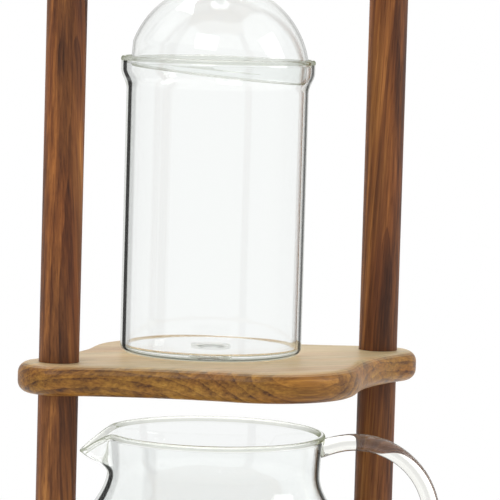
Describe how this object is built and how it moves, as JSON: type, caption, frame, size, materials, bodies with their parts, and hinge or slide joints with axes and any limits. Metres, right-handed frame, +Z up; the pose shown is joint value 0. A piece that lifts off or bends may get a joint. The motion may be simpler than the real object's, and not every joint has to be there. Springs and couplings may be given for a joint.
{
  "type": "cold drip coffee tower",
  "caption": "Tall wooden stand with S-shaped boards on round posts; a glass water vessel with a tap drips into a lidded coffee chamber above an open carafe.",
  "frame": {"origin": "on the table plane under the feet, midway between the two posts", "axes": "+Z up, X from the left post to the right post, -Y is the front"},
  "size_m": [0.2554, 0.216, 0.768],
  "materials": {
    "walnut_wood": "oiled round bar with long brown grain",
    "acacia_wood": "oiled board, pale on top, golden brown on its edge",
    "clear_glass": "clear borosilicate, fire polished",
    "bright_steel": "turned and polished",
    "brass": "satin",
    "black_rubber": "matt",
    "clear_silicone": "milky, satin"
  },
  "bodies": {
    "frame": {"base_board": "acacia_wood", "middle_shelf": "acacia_wood", "top_shelf": "acacia_wood", "left_post": "walnut_wood", "right_post": "walnut_wood", "base_bolts": "bright_steel", "post_inserts": "brass", "shelf_screws": "brass", "rubber_feet": "black_rubber", "foot_screws": "bright_steel"},
    "chamber": {"coffee_chamber": "clear_glass", "filter_ring": "clear_silicone", "filter_disc": "bright_steel"},
    "chamber_cover": {"chamber_lid": "clear_glass"},
    "vessel": {"water_vessel": "clear_glass", "tap_stopper": "clear_silicone", "tap_body": "bright_steel", "drip_tip": "bright_steel"},
    "vessel_cover": {"vessel_lid": "clear_glass"},
    "tap": {"tap_plug": "bright_steel", "plug_seals": "black_rubber", "tap_lever": "walnut_wood", "lever_screw": "brass", "tap_washer": "bright_steel", "tap_nut": "bright_steel"},
    "carafe": {"carafe": "clear_glass", "carafe_handle": "clear_glass"}
  },
  "joints": [
    {"name": "chamber_lift", "type": "slide", "parent": "frame", "child": "chamber", "axis": [0, 0, 1], "range_m": [0, 0.026]},
    {"name": "chamber_lid_lift", "type": "slide", "parent": "chamber", "child": "chamber_cover", "axis": [0, 0, 1], "range_m": [0, 0.025]},
    {"name": "vessel_lift", "type": "slide", "parent": "frame", "child": "vessel", "axis": [0, 0, 1], "range_m": [0, 0.08]},
    {"name": "vessel_lid_lift", "type": "slide", "parent": "vessel", "child": "vessel_cover", "axis": [0, 0, 1], "range_m": [0, 0.08]},
    {"name": "tap_turn", "type": "hinge", "parent": "vessel", "child": "tap", "pos_m": [0, 0.014, 0.51555], "axis": [0, 1, 0], "range_deg": [0, 90]},
    {"name": "carafe_draw", "type": "slide", "parent": "frame", "child": "carafe", "axis": [0, -1, 0], "range_m": [0, 0.22]}
  ]
}
